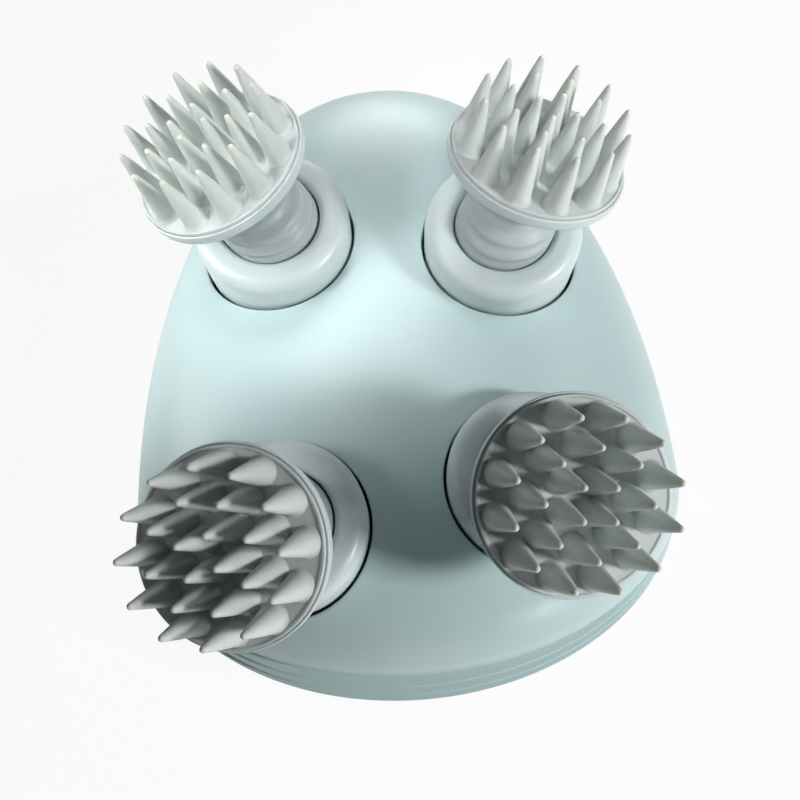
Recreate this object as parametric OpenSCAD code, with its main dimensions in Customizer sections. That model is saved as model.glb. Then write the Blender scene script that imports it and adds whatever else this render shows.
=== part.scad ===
// Cordless scalp massager: an egg-shaped palm housing with four leaning silicone brush heads.
// +Z points from the palm side to the heads, +Y to the narrow end, and the housing lies on Z = 0.

/* [Housing] */
// Half of the housing's width
body_half_w = 55.4; // [52:0.1:60]
// Length of the broad front half of the outline
front_len = 39; // [36:0.5:44]
// Length of the long rear part of the outline
rear_len = 97; // [92:0.5:104]
// Height of the back shell's rim
back_h = 21; // [18:0.5:24]
// Height of the dome above its own rim
dome_h = 21.5; // [20:0.5:25]
// Wall thickness of both shells
wall = 2.4; // [2:0.1:3]

/* [Trim] */
// Height of one step of the stepped trim
trim_step_h = 1.5; // [1.2:0.1:2]
// How far the steps reach forward of the dome's edge, at the front
trim_reach = 4.6; // [3:0.1:6]
// How far each step stands out at the sides and the rear
trim_step_side = 0.35; // [0.2:0.05:0.6]

/* [Heads] */
// Radius of an opening in the dome
opening_r = 15.5; // [15:0.1:15.8]
// Half of the distance between heads, across
head_x = 22; // [21.8:0.1:23]
// Half of the distance between the two left heads, along
left_y = 28.9; // [28.5:0.1:29]
// Half of the distance between the two right heads, along
right_y = 23.7; // [23.6:0.1:24.2]
// Lean of a brush from its rotor's axis
lean = 20; // [16:0.5:21]
// Distance from the pivot of the lean to the back of the brush plate
stalk_len = 19.2; // [17:0.1:19.4]
// Radius of the brush pad
pad_r = 15.9; // [15:0.1:16]
// Length of a silicone finger
finger_len = 10.2; // [8:0.1:10.5]
// Radius of a silicone finger at its foot
finger_r = 2.2; // [1.8:0.05:2.2]

/* [Drive] */
// Teeth on the central wheel
wheel_teeth = 44; // [40:2:44]
// Teeth on each head gear
head_teeth = 24; // [24:1:26]
// Teeth on the pinion side of the reduction gear
small_teeth = 12; // [11:1:13]
// Teeth on the wheel side of the reduction gear
large_teeth = 38; // [36:1:38]
// Teeth on the motor pinion
pinion_teeth = 10; // [10:1:12]
// Module of the motor stage
motor_module = 0.8; // [0.75:0.01:0.8]
// Thinning of each tooth at the pitch circle
backlash = 0.1; // [0.08:0.01:0.16]

/* [Button] */
// Radius of the power button
button_r = 6.6; // [6:0.1:7]
// How far the button travels
button_travel = 0.8; // [0.5:0.1:1]

/* [Hidden] */

round_fn = 64;
body_color = "#c9dcdb";
soft_color = "#c6cfd3";

// Outline: two half ovals that share their widest line
half_len = (front_len + rear_len) / 2;
wide_y = front_len - half_len;
rear_power = 2.05;
dome_power = 2.7;
land_share = 0.52;
back_power = 0.9;
outline_n = 64;
steps = 3;
trim_base_z = back_h;
trim_top_z = back_h + (steps - 1) * trim_step_h;
lip_h = 1;
dome_base_z = trim_top_z + lip_h;
dome_top_z = dome_base_z + dome_h;

// Places of the four heads: front left, front right, rear left, rear right
heads_mid_y = -7.5;
head_pos = [
    [-head_x, heads_mid_y - left_y], [head_x, heads_mid_y - right_y],
    [-head_x, heads_mid_y + left_y], [head_x, heads_mid_y + right_y]];
head_phase = [224, 295, 150, 47];
pivot_z = 45.2;
collar_gap = 0.55;
collar_r = opening_r - collar_gap;
collar_floor_z = pivot_z - 9.5;
skirt_wall = 1.6;
skirt_z = 33;

// Drive train, from the bottom up
cover_z = 5.3;
cover_t = 1.6;
screw_sink = 1.1;
large_z = 7.4;
large_t = 3.5;
wheel_z = 11.4;
small_t = 4.5;
head_gear_z = 17.4;
head_gear_t = 5;
plate_z = 24;
plate_t = 2.6;
bearing_top_z = 32;
spindle_r = 2.9;
bearing_clear = 0.05;
bearing_r = 5;
boss_r = 7;
axle_r = 1.5;
// The central wheel stands equally far from all four head axes
wheel_x = (pow(right_y, 2) - pow(left_y, 2)) / (4 * head_x);
wheel_r = norm([head_x + wheel_x, left_y]) * wheel_teeth / (wheel_teeth + head_teeth);
main_module = 2 * wheel_r / wheel_teeth;
small_dist = wheel_r + main_module * small_teeth / 2;
reduction_y = heads_mid_y + small_dist;
motor_dist = motor_module * (large_teeth + pinion_teeth) / 2;
motor_y = reduction_y + sqrt(pow(motor_dist, 2) - pow(wheel_x, 2));
motor_r = 11;
motor_z = 12;
motor_top_z = 34.6;
motor_shaft_r = 1;
post_pos = [[-31, heads_mid_y], [31, heads_mid_y], [-15.5, 37], [15.5, 37]];
post_r = 2.8;
hanger_pos = [[-36, 2], [36, 2], [0, -50]];
pressure_angle = 25;

// Shell screws
screw_pos = [[-43.5, -14], [43.5, -14], [-23, 46], [23, 46]];
screw_r = 1.4;
screw_boss_r = 3.6;
screw_head_r = 2.7;
screw_head_z = 10.5;

// Button group, on the palm side
button_y = -37;
dish_r = 11;
dish_z = 1.4;
bezel_r = 9;
button_clear = 0.35;
button_face_z = 1.2;
flange_z = 4.7;
flange_t = 0.8;
board_z = 10.5;
board_t = 1.6;
switch_h = 3.2;
plunger_r = 1.6;
plunger_z = 6.4;
plunger_h = 2.2;
spring_r = 6.1;
spring_wire_r = 0.35;
spring_turns = 3;

// Charging contacts, in a shallow round recess on the palm side
charge_y = 14;
charge_r = 6.5;
charge_depth = 0.6;
contact_x = 3;
contact_r = 1.4;

// Battery
cell_r = 5.1;
cell_len = 43;
cell_y = -52.2;
cell_z = 12;

// Insets of step k from the back shell's outline; the front steps grow wider upwards
function step_side(k) = k * trim_step_side;
function step_front(k) = trim_reach * k * (k + 3.5) / (steps * (steps + 3.5));

function power(v, p) = sign(v) * pow(abs(v), p);

// The housing outline pulled in by side and front, and scaled by s about its widest line
function outline(side, front, s = 1, n = outline_n) = [
    for (i = [0:n - 1])
        let (a = 360 * i / n, rear = sin(a) > 0)
        let (p = rear ? 2 / rear_power : 1, len = rear ? rear_len - side : front_len - front)
        [s * (body_half_w - side) * power(cos(a), p), wide_y + s * len * power(sin(a), p)]];

function lift(points, z) = [for (p = points) [p[0], p[1], z]];
function ring_faces(rings, n) = concat(
    [[for (i = [0:n - 1]) i]],
    [for (k = [0:rings - 2], i = [0:n - 1])
        [k * n + i, (k + 1) * n + i, (k + 1) * n + (i + 1) % n, k * n + (i + 1) % n]],
    [[for (i = [n - 1:-1:0]) (rings - 1) * n + i]]);

// Closed solid through a list of rings of n points each, from the bottom ring to the top one
module loft(rings, n) {
    polyhedron([for (r = rings) each r], ring_faces(len(rings), n), convexity = 6);
}

function dome_height(s) = sqrt(max(0, 1 - pow(s, dome_power)));

// The dome's solid, inset by t on all sides
module dome_solid(t, levels, n) {
    side = t + step_side(steps);
    front = t + step_front(steps);
    shares = [for (k = [0:levels]) sin(90 - 84 * k / levels)];
    low = t > 0 ? trim_top_z - 1 : trim_top_z;
    loft(concat(
        [lift(outline(side, front, 1, n), low)],
        [for (s = shares) lift(outline(side, front, s, n), dome_base_z + (dome_h - t) * dome_height(s))],
        [lift(outline(side, front, 0.03, n), dome_base_z + (dome_h - t))]), n);
}

function back_share(a) = land_share + (1 - land_share) * pow(sin(a), back_power);

// The back shell's solid, inset by t on all sides
module back_solid(t, levels, n) {
    loft(concat(
        [for (k = [0:levels])
            let (a = 90 * k / levels)
            lift(outline(t, t, back_share(a), n), t + (back_h - t) * (1 - cos(a)))],
        t > 0 ? [lift(outline(t, t, 1, n), back_h + 1)] : []), n);
}

module at_heads() {
    for (p = head_pos) translate([p[0], p[1], 0]) children();
}

module ring(r_out, r_in, h) {
    difference() {
        cylinder(r = r_out, h = h, $fn = round_fn);
        translate([0, 0, -1]) cylinder(r = r_in, h = h + 2, $fn = round_fn);
    }
}

// Flat ring that follows the outline, between two insets
module outline_ring(side, front, width, h) {
    linear_extrude(h) difference() {
        polygon(outline(side, front));
        polygon(outline(side + width, front + width));
    }
}

module front_shell() {
    color(body_color) difference() {
        union() {
            difference() {
                dome_solid(0, 12, outline_n);
                dome_solid(wall, 9, 48);
            }
            intersection() {
                dome_solid(wall / 2, 9, 48);
                union() {
                    at_heads() translate([0, 0, skirt_z])
                        cylinder(r = opening_r + skirt_wall, h = 20, $fn = round_fn);
                    for (p = screw_pos) translate([p[0], p[1], trim_top_z])
                        cylinder(r = screw_boss_r, h = 20, $fn = 32);
                    for (p = hanger_pos) translate([p[0], p[1], plate_z + plate_t])
                        cylinder(r = screw_boss_r, h = 20, $fn = 32);
                }
            }
        }
        at_heads() translate([0, 0, skirt_z - 1]) cylinder(r = opening_r, h = 30, $fn = round_fn);
        for (p = screw_pos) translate([p[0], p[1], trim_top_z - 1]) cylinder(r = screw_r, h = 9, $fn = 24);
        for (p = hanger_pos) translate([p[0], p[1], plate_z]) cylinder(r = screw_r, h = 9, $fn = 24);
    }
}

// Stepped band between the two shells
module trim_band() {
    color(body_color) difference() {
        union() {
            for (k = [1:steps - 1])
                translate([0, 0, trim_base_z + (k - 1) * trim_step_h])
                    linear_extrude(trim_step_h)
                        polygon(outline(step_side(k), step_front(k)));
        }
        translate([0, 0, trim_base_z - 1]) linear_extrude(steps * trim_step_h)
            polygon(outline(wall + 1.4, wall + trim_reach + 0.4));
        translate([0, 0, trim_base_z - 1]) gasket_solid(0, 1.6);
    }
}

module gasket_solid(slack, h) {
    outline_ring(0.9 + slack, 1.5 + slack, 0.9 - 2 * slack, h);
}

module seam_gasket() {
    color("#3c4042") translate([0, 0, trim_base_z]) gasket_solid(0.1, 0.5);
}

module back_shell() {
    color(body_color) difference() {
        union() {
            difference() {
                back_solid(0, 10, outline_n);
                back_solid(wall, 8, 48);
            }
            intersection() {
                back_solid(wall / 2, 8, 48);
                union() {
                    for (p = screw_pos) translate([p[0], p[1], 0])
                        cylinder(r = screw_boss_r + 0.8, h = trim_base_z - 0.5, $fn = 32);
                    translate([0, button_y, 0]) cylinder(r = dish_r + 2, h = 4.4, $fn = round_fn);
                }
            }
        }
        for (p = screw_pos) translate([p[0], p[1], -1]) {
            cylinder(r = screw_head_r + 0.2, h = screw_head_z + 1, $fn = 32);
            cylinder(r = screw_r + 0.2, h = trim_top_z, $fn = 24);
        }
        translate([0, button_y, -1]) cylinder(r = dish_r, h = dish_z + 1, $fn = round_fn);
        translate([0, button_y, -1]) cylinder(r = bezel_r, h = 8, $fn = round_fn);
        charge_recess();
    }
}

module charge_recess() {
    translate([0, charge_y, -1]) cylinder(r = charge_r, h = charge_depth + 1, $fn = 48);
    for (x = [-contact_x, contact_x]) translate([x, charge_y, -1]) cylinder(r = contact_r, h = 6, $fn = 24);
}

module charge_contacts() {
    color("#c9a45c") for (x = [-contact_x, contact_x]) translate([x, charge_y, charge_depth]) {
        cylinder(r = contact_r, h = wall - charge_depth, $fn = 24);
        translate([0, 0, wall - charge_depth]) cylinder(r = contact_r + 0.8, h = 0.5, $fn = 24);
    }
}

module charge_leads() {
    z = wall + 0.5 + 0.45;
    color("firebrick") for (side = [-1, 1])
        wire([[side * contact_x, charge_y, z], [side * 15, -20, z], [side * 15, -33.5, z],
              [side * 15, -33.5, board_z]], 0.45);
}

module shell_screws() {
    color("gray") for (p = screw_pos) translate([p[0], p[1], screw_head_z - 2.4]) {
        cylinder(r = screw_head_r, h = 2.4, $fn = 32);
        cylinder(r = screw_r - 0.05, h = trim_top_z + 7 - screw_head_z + 2.4, $fn = 24);
    }
}

module screw_plugs() {
    color("#b9c3c5") for (p = screw_pos) translate([p[0], p[1], screw_head_z - 3.6])
        cylinder(r = screw_head_r + 0.15, h = 1.1, $fn = 32);
}

module screw_down(p, z, head_h, len) {
    translate([p[0], p[1], z]) {
        translate([0, 0, -head_h]) cylinder(r = 2.4, h = head_h, $fn = 24);
        cylinder(r = screw_r - 0.05, h = len, $fn = 24);
    }
}

// Plate that carries the four head bearings, the axles and the motor
module drive_plate() {
    color("#dfe5e6") difference() {
        union() {
            translate([0, 0, plate_z]) linear_extrude(plate_t) hull() {
                for (p = head_pos) translate(p) circle(r = boss_r + 1, $fn = 32);
                for (p = hanger_pos) translate(p) circle(r = 4.5, $fn = 24);
                translate([0, motor_y]) circle(r = motor_r + 2.5, $fn = 32);
            }
            at_heads() translate([0, 0, plate_z]) cylinder(r = boss_r, h = bearing_top_z - plate_z, $fn = 48);
            for (p = post_pos) translate([p[0], p[1], cover_z + cover_t])
                cylinder(r = post_r, h = plate_z - cover_z - cover_t, $fn = 32);
            translate([wheel_x, heads_mid_y, plate_z]) cylinder(r = 4, h = 5, $fn = 32);
            translate([wheel_x, reduction_y, plate_z]) cylinder(r = 3.5, h = 5, $fn = 32);
        }
        at_heads() translate([0, 0, plate_z - 1]) cylinder(r = bearing_r, h = 20, $fn = 48);
        translate([0, motor_y, plate_z - 1]) cylinder(r = motor_r, h = 8, $fn = 48);
        translate([wheel_x, heads_mid_y, plate_z - 1]) cylinder(r = axle_r, h = 5, $fn = 32);
        translate([wheel_x, reduction_y, plate_z - 1]) cylinder(r = axle_r, h = 5, $fn = 32);
        for (x = [-2.8, 2.8]) translate([x, -43.5, plate_z - 1]) cylinder(r = 1.2, h = 8, $fn = 24);
        for (p = hanger_pos) translate([p[0], p[1], plate_z - 1]) cylinder(r = screw_r + 0.2, h = 8, $fn = 24);
        for (p = post_pos) translate([p[0], p[1], cover_z]) cylinder(r = screw_r, h = 9, $fn = 24);
    }
}

// Cover under the gears, which holds the lower ends of the axles
module drive_cover() {
    color("#dfe5e6") difference() {
        union() {
            translate([0, 0, cover_z]) linear_extrude(cover_t) hull() {
                for (p = post_pos) translate(p) circle(r = post_r, $fn = 32);
                translate([wheel_x, heads_mid_y]) circle(r = 14, $fn = 48);
            }
            translate([wheel_x, heads_mid_y, cover_z]) cylinder(r = 4, h = wheel_z - cover_z - 0.3, $fn = 32);
        }
        translate([wheel_x, heads_mid_y, cover_z + 0.8]) cylinder(r = axle_r, h = 20, $fn = 32);
        translate([wheel_x, reduction_y, cover_z + 0.8]) cylinder(r = axle_r, h = 20, $fn = 32);
        for (p = post_pos) translate([p[0], p[1], cover_z - 1]) {
            cylinder(r = screw_r + 0.2, h = 5, $fn = 24);
            cylinder(r = 2.5, h = 1 + screw_sink, $fn = 24);
        }
    }
}

module drive_screws() {
    color("gray") {
        for (p = post_pos) screw_down(p, cover_z + screw_sink, screw_sink, 7.5);
        for (p = hanger_pos) screw_down(p, plate_z, 1.6, plate_t + 5);
    }
}

module head_bearings() {
    color("#b08d57") at_heads() translate([0, 0, plate_z])
        ring(bearing_r, spindle_r + bearing_clear, bearing_top_z - plate_z);
}

// Rubber lip ring on each bearing, under the collar
module head_seals() {
    color("#3c4042") at_heads() translate([0, 0, bearing_top_z]) rotate_extrude($fn = 48)
        polygon([[spindle_r + 0.35, 0], [boss_r, 0], [boss_r, 0.8], [4.6, 1], [3.9, 1.6], [3.3, 1.6]]);
}

module central_axle() {
    color("silver") translate([wheel_x, heads_mid_y, cover_z + 0.8])
        cylinder(r = axle_r, h = plate_z + 4 - cover_z - 0.8, $fn = 32);
}

module reduction_axle() {
    color("silver") translate([wheel_x, reduction_y, cover_z + 0.8])
        cylinder(r = axle_r, h = plate_z + 4 - cover_z - 0.8, $fn = 32);
}

// Involute gear outline with stub teeth, first tooth on +X
function deg(v) = v * 180 / PI;
function involute(base, r) = let (c = acos(min(1, base / r))) deg(tan(c)) - c;
function gear_outline(teeth, mod) =
    let (pitch = mod * teeth / 2, base = pitch * cos(pressure_angle))
    let (tip = pitch + 0.8 * mod, root = pitch - 1.05 * mod)
    let (half = 90 / teeth - deg(backlash / 2 / pitch) + involute(base, pitch))
    let (start = max(base, root + 0.05), radii = [for (k = [0:3]) start + (tip - start) * k / 3])
    [for (t = [0:teeth - 1], side = [-1, 1], k = [0:4])
        let (i = side < 0 ? k : 4 - k, r = i == 0 ? root : radii[i - 1])
        let (a = 360 * t / teeth + side * (half - involute(base, max(r, start))))
        r * [cos(a), sin(a)]];

// Turn of a gear that meshes with another one, which stands at angle dir and is turned by turn_a
function mesh_turn(teeth_a, turn_a, teeth_b, dir) =
    let (k = (dir - turn_a) * teeth_a / 360)
    dir + 180 - (0.5 - k) * 360 / teeth_b;

module gear(teeth, mod, h, turn) {
    rotate(turn) linear_extrude(h) polygon(gear_outline(teeth, mod));
}

module central_wheel() {
    color("#f0efe6") translate([wheel_x, heads_mid_y, wheel_z]) difference() {
        gear(wheel_teeth, main_module, head_gear_z + head_gear_t - wheel_z, 0);
        translate([0, 0, -1]) cylinder(r = axle_r + bearing_clear, h = 20, $fn = 32);
        translate([0, 0, small_t + 1.5]) ring(wheel_r - 3.6, 5, 20);
        for (a = [0:60:300]) rotate(a) translate([wheel_r * 0.52, 0, -1]) cylinder(r = 3.2, h = 20, $fn = 24);
    }
}

module reduction_gear() {
    small_turn = mesh_turn(wheel_teeth, 0, small_teeth, 90);
    color("#f0efe6") translate([wheel_x, reduction_y, 0]) difference() {
        union() {
            translate([0, 0, large_z]) gear(large_teeth, motor_module, large_t, 0);
            translate([0, 0, large_z + large_t - 0.01]) cylinder(r = 4.4, h = 0.6, $fn = 32);
            translate([0, 0, wheel_z]) gear(small_teeth, main_module, small_t, small_turn);
        }
        translate([0, 0, large_z - 1]) cylinder(r = axle_r + bearing_clear, h = 20, $fn = 32);
    }
}

module motor_pinion() {
    dir = atan2(motor_y - reduction_y, -wheel_x);
    color("#b08d57") translate([0, motor_y, large_z]) difference() {
        gear(pinion_teeth, motor_module, large_t, mesh_turn(large_teeth, 0, pinion_teeth, dir));
        translate([0, 0, -1]) cylinder(r = motor_shaft_r, h = 10, $fn = 24);
    }
}

module motor_shaft() {
    color("silver") translate([0, motor_y, large_z - 0.3])
        cylinder(r = motor_shaft_r, h = motor_top_z - large_z - 2.3, $fn = 24);
}

module motor_can() {
    color("lightgray") translate([0, motor_y, motor_z]) difference() {
        union() {
            cylinder(r = motor_r, h = motor_top_z - motor_z - 2.4, $fn = 48);
            translate([0, 0, -0.9]) cylinder(r = 3, h = 1, $fn = 32);
        }
        translate([0, 0, 1]) cylinder(r = motor_r - 0.8, h = 40, $fn = 48);
        translate([0, 0, -2]) cylinder(r = motor_shaft_r + 0.06, h = 10, $fn = 24);
    }
}

module motor_end_cap() {
    color("#2b2b2b") translate([0, motor_y, motor_top_z - 2.4]) difference() {
        union() {
            cylinder(r = motor_r, h = 1.4, $fn = 48);
            cylinder(r = 3.4, h = 2.4, $fn = 32);
        }
        translate([0, 0, -1]) cylinder(r = motor_shaft_r + 0.06, h = 2.8, $fn = 24);
    }
}

// Sleeved wire along a list of points, as a prism mitred at each bend
wire_sides = 10;
function leg(points, k) = (points[k + 1] - points[k]) / norm(points[k + 1] - points[k]);
function slide_ring(ring, d, p, n) = [for (v = ring) v + d * (((p - v) * n) / (d * n))];
function wire_rings(points, ring, k = 0) =
    k == len(points) - 1 ? [ring] :
    let (d = leg(points, k), n = k == len(points) - 2 ? d : d + leg(points, k + 1))
    concat([ring], wire_rings(points, slide_ring(ring, d, points[k + 1], n), k + 1));

module wire(points, r) {
    d = leg(points, 0);
    across = cross(d, abs(d[2]) < 0.9 ? [0, 0, 1] : [1, 0, 0]);
    u = across / norm(across);
    v = cross(d, u);
    start = [for (j = [0:wire_sides - 1])
        let (a = 360 * j / wire_sides) points[0] + r * (cos(a) * u + sin(a) * v)];
    loft(wire_rings(points, start), wire_sides);
}

module motor_leads() {
    top = motor_top_z - 0.4;
    color("firebrick") for (side = [-1, 1])
        wire([[side * 6, motor_y, top], [side * 6, motor_y - 9, top], [side * 2.8, 27, 33.8],
              [side * 2.8, -38, 33.8], [side * 2.8, -43.5, 29],
              [side * 2.8, -43.5, board_z + board_t]], 0.55);
}

module battery_cell() {
    color("#5b7f8c") translate([-cell_len / 2, cell_y, cell_z]) rotate([0, 90, 0]) {
        cylinder(r = cell_r, h = cell_len, $fn = 48);
        translate([0, 0, cell_len]) cylinder(r = 2.4, h = 1, $fn = 32);
    }
}

module battery_cradle() {
    color("#dfe5e6") for (x = [-14, 14]) difference() {
        intersection() {
            translate([x - 2.5, cell_y - cell_r - 0.4, 1.5]) cube([5, 2 * cell_r + 0.8, cell_z - 2.5]);
            back_solid(wall + 0.02, 8, 48);
        }
        translate([x - 5, cell_y, cell_z]) rotate([0, 90, 0]) cylinder(r = cell_r + 0.02, h = 10, $fn = 48);
    }
}

module battery_leads() {
    color("firebrick") for (side = [-1, 1])
        wire([[side * (cell_len / 2 + 0.6) + (side > 0 ? 1 : 0), cell_y, cell_z], [side * 24, -45, 15.2],
              [side * 16, -42, 15.2], [side * 16, -42, board_z + board_t]], 0.55);
}

module circuit_board() {
    color("#2f6b4a") difference() {
        union() {
            translate([-20, -45, board_z]) cube([40, 13.4, board_t]);
            translate([-13, -44.5, board_z + board_t]) cube([5, 5, 1.2]);
            translate([9, -40, board_z + board_t]) cube([4, 6, 1.8]);
            translate([-3.5, -40, board_z + board_t]) cube([7, 5, 1]);
        }
        for (side = [-1, 1]) translate([side * 17.5, -37, board_z - 1]) cylinder(r = 1.3, h = 5, $fn = 24);
    }
}

// Pillars' screws, each with its pillar on the palm-side wall
module board_screws() {
    color("gray") for (side = [-1, 1]) translate([side * 17.5, -37, wall]) {
        cylinder(r = 2.4, h = board_z - wall, $fn = 24);
        cylinder(r = 1.25, h = board_z + board_t - wall, $fn = 24);
        translate([0, 0, board_z + board_t - wall]) cylinder(r = 2.2, h = 1.2, $fn = 24);
    }
}

module tact_switch() {
    color("#2b2b2b") difference() {
        translate([-3, button_y - 3, board_z - switch_h]) cube([6, 6, switch_h]);
        translate([0, button_y, plunger_z]) cylinder(r = plunger_r + 0.05, h = plunger_h + button_travel + 0.2, $fn = 24);
    }
}

// Stands on the button's post and slides up into the switch with it
module switch_plunger() {
    color("white") translate([0, button_y, plunger_z]) cylinder(r = plunger_r, h = plunger_h, $fn = 24);
}

module button_bezel() {
    color("silver") translate([0, button_y, dish_z - 0.3]) difference() {
        ring(bezel_r, button_r + button_clear, flange_z - 0.2 - dish_z + 0.3);
        translate([0, 0, -0.5]) ring(bezel_r - 0.5, bezel_r - 1.4, 1);
    }
}

module light_ring() {
    color("white") translate([0, button_y, dish_z - 0.3]) ring(bezel_r - 0.5, bezel_r - 1.4, 0.5);
}

module button_cap() {
    color(body_color) translate([0, button_y, 0]) difference() {
        union() {
            translate([0, 0, button_face_z]) cylinder(r = button_r, h = flange_z - button_face_z, $fn = 48);
            translate([0, 0, flange_z]) cylinder(r = button_r + 1.6, h = flange_t, $fn = 48);
            translate([0, 0, flange_z]) cylinder(r = 2, h = plunger_z - flange_z, $fn = 32);
        }
        translate([0, 0, button_face_z - 8.6]) sphere(r = 9, $fn = 48);
    }
}

module button_spring() {
    turn_n = 12;
    low = flange_z + flange_t + spring_wire_r;
    rise = board_z - 2 * spring_wire_r - flange_z - flange_t;
    count = spring_turns * turn_n;
    side_n = 6;
    rings = [for (k = [0:count])
        let (a = 360 * k / turn_n, z = low + rise * k / count)
        [for (j = [0:side_n - 1])
            let (b = 360 * j / side_n, r = spring_r + spring_wire_r * cos(b))
            [r * cos(a), r * sin(a), z + spring_wire_r * sin(b)]]];
    color("silver") translate([0, button_y, 0]) mirror([0, 1, 0]) loft(rings, side_n);
}

// ---- One head, drawn with its rotor axis on Z and its lean towards +X ----

module place_head(i) {
    translate([head_pos[i][0], head_pos[i][1], 0]) rotate(head_phase[i]) children();
}

module lean_frame() {
    translate([0, 0, pivot_z]) rotate([0, lean, 0]) children();
}

ball_r = 7.8;
stalk_r = 3.4;
bowl_r = 9.5;
shoulder_r = 4.2;
shoulder_z = 3;
collar_top_z = shoulder_z + shoulder_r;
bowl_floor_z = -4.2;
socket_top = bowl_floor_z - 1;

// Cup of the rotor: outer wall, round shoulder, bowl and hub, with the leaning stalk in one piece
module collar() {
    low = collar_floor_z - pivot_z;
    edge = bowl_r + 1.3;
    shoulder = [for (a = [90:-15:0])
        [collar_r - shoulder_r + shoulder_r * cos(a), shoulder_z + shoulder_r * sin(a)]];
    lip = [for (a = [180:-30:90]) [edge + 1.3 * cos(a), collar_top_z - 1.3 + 1.3 * sin(a)]];
    bowl = [[0, bowl_floor_z], [bowl_r - 1.3, bowl_floor_z], [bowl_r - 0.6, bowl_floor_z + 0.9], [bowl_r - 0.2, 1]];
    skirt = [[collar_r, low], [collar_r - 1.8, low], [collar_r - 1.8, 1.5], [bowl_r + 1.2, 1.5],
             [bowl_r + 0.9, bowl_floor_z - 2], [5.4, bowl_floor_z - 2], [4.6, low + 0.4],
             [spindle_r, low + 0.4], [spindle_r, socket_top], [0, socket_top]];
    union() {
        translate([0, 0, pivot_z]) rotate_extrude($fn = round_fn)
            polygon(concat(bowl, lip, shoulder, skirt));
        difference() {
            lean_frame() translate([0, 0, -ball_r]) cylinder(r = stalk_r, h = ball_r + stalk_len, $fn = 32);
            translate([0, 0, pivot_z + bowl_floor_z - 20.4]) cylinder(r = 20, h = 20, $fn = 32);
        }
    }
}

// Shaft through the bearing, with a keeper flange under the gear
module spindle() {
    top = pivot_z + socket_top;
    color("silver") {
        translate([0, 0, head_gear_z - 1.4]) cylinder(r = spindle_r, h = top - head_gear_z + 1.4, $fn = 32);
        translate([0, 0, head_gear_z - 1.4]) cylinder(r = 4.4, h = 1.3, $fn = 32);
    }
}

module head_gear(i) {
    dir = atan2(head_pos[i][1] - heads_mid_y, head_pos[i][0] - wheel_x);
    color("#f0efe6") translate([head_pos[i][0], head_pos[i][1], head_gear_z]) difference() {
        union() {
            gear(head_teeth, main_module, head_gear_t, mesh_turn(wheel_teeth, 0, head_teeth, dir));
            cylinder(r = 4.8, h = plate_z - head_gear_z - 0.2, $fn = 32);
        }
        translate([0, 0, -1]) cylinder(r = spindle_r, h = 20, $fn = 32);
        translate([0, 0, head_gear_t - 1.5]) ring(9, 5.6, 3);
    }
}

// Soft boot round the stalk: a dome that fills the bowl, then ripples, then a flare under the plate
module neck() {
    r = ball_r;
    ball = [for (a = [-50:10:40]) [r * cos(a), r * sin(a)]];
    ripple = [for (k = [0:2], a = [-90:30:90]) [5.6 - 0.3 * k + 0.45 * cos(a), 6.3 + 2 * k + 0.85 * sin(a)]];
    flare = [[4.9, 12.2], [5, 14], [6.2, 16.2], [8.6, stalk_len - 0.8], [8.6, stalk_len]];
    color(soft_color) difference() {
        lean_frame() rotate_extrude($fn = 48)
            polygon(concat([[stalk_r, -r * sin(50)]], ball, ripple, flare, [[stalk_r, stalk_len]]));
        translate([0, 0, pivot_z + bowl_floor_z - 20]) cylinder(r = 20, h = 20, $fn = 32);
    }
}

plate_h = 1.6;
pad_h = 0.9;

module brush_plate() {
    color(body_color) lean_frame() translate([0, 0, stalk_len]) rotate_extrude($fn = round_fn)
        polygon([[0, 0], [pad_r - 0.7, 0], [pad_r - 0.2, 0.4], [pad_r - 0.2, plate_h], [0, plate_h]]);
}

// Rings of silicone fingers: radius, count and turn of each ring
finger_rings = [[12.5, 12, 15], [8, 8, 15], [3.35, 4, 15]];

module finger() {
    rotate_extrude($fn = 16) polygon([
        [0, -0.2], [finger_r, -0.2], [finger_r, 0], [finger_r * 0.94, finger_len * 0.1],
        [finger_r * 0.86, finger_len * 0.27], [finger_r * 0.69, finger_len * 0.52],
        [finger_r * 0.46, finger_len * 0.78], [finger_r * 0.3, finger_len * 0.93],
        [finger_r * 0.13, finger_len], [0, finger_len]]);
}

module brush() {
    color(soft_color) lean_frame() translate([0, 0, stalk_len + plate_h]) {
        rotate_extrude($fn = round_fn)
            polygon([[0, 0], [pad_r, 0], [pad_r, pad_h - 0.1], [pad_r - 0.35, pad_h + 0.3],
                     [pad_r - 0.9, pad_h + 0.3], [pad_r - 1.2, pad_h], [0, pad_h]]);
        for (f = finger_rings, k = [0:f[1] - 1])
            rotate(f[2] + 360 * k / f[1]) translate([f[0], 0, pad_h]) finger();
    }
}

front_shell();
trim_band();
seam_gasket();
back_shell();
shell_screws();
screw_plugs();
drive_plate();
drive_cover();
drive_screws();
head_bearings();
head_seals();
central_axle();
central_wheel();
reduction_axle();
reduction_gear();
motor_can();
motor_end_cap();
motor_shaft();
motor_pinion();
motor_leads();
battery_cell();
battery_cradle();
battery_leads();
circuit_board();
board_screws();
tact_switch();
switch_plunger();
button_bezel();
light_ring();
button_cap();
button_spring();
charge_contacts();
charge_leads();
color(body_color) place_head(0) collar();  // collar_front_left
place_head(0) spindle();  // spindle_front_left
head_gear(0);  // gear_front_left
place_head(0) neck();  // neck_front_left
place_head(0) brush_plate();  // plate_front_left
place_head(0) brush();  // brush_front_left
color(body_color) place_head(1) collar();  // collar_front_right
place_head(1) spindle();  // spindle_front_right
head_gear(1);  // gear_front_right
place_head(1) neck();  // neck_front_right
place_head(1) brush_plate();  // plate_front_right
place_head(1) brush();  // brush_front_right
color(body_color) place_head(2) collar();  // collar_rear_left
place_head(2) spindle();  // spindle_rear_left
head_gear(2);  // gear_rear_left
place_head(2) neck();  // neck_rear_left
place_head(2) brush_plate();  // plate_rear_left
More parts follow.
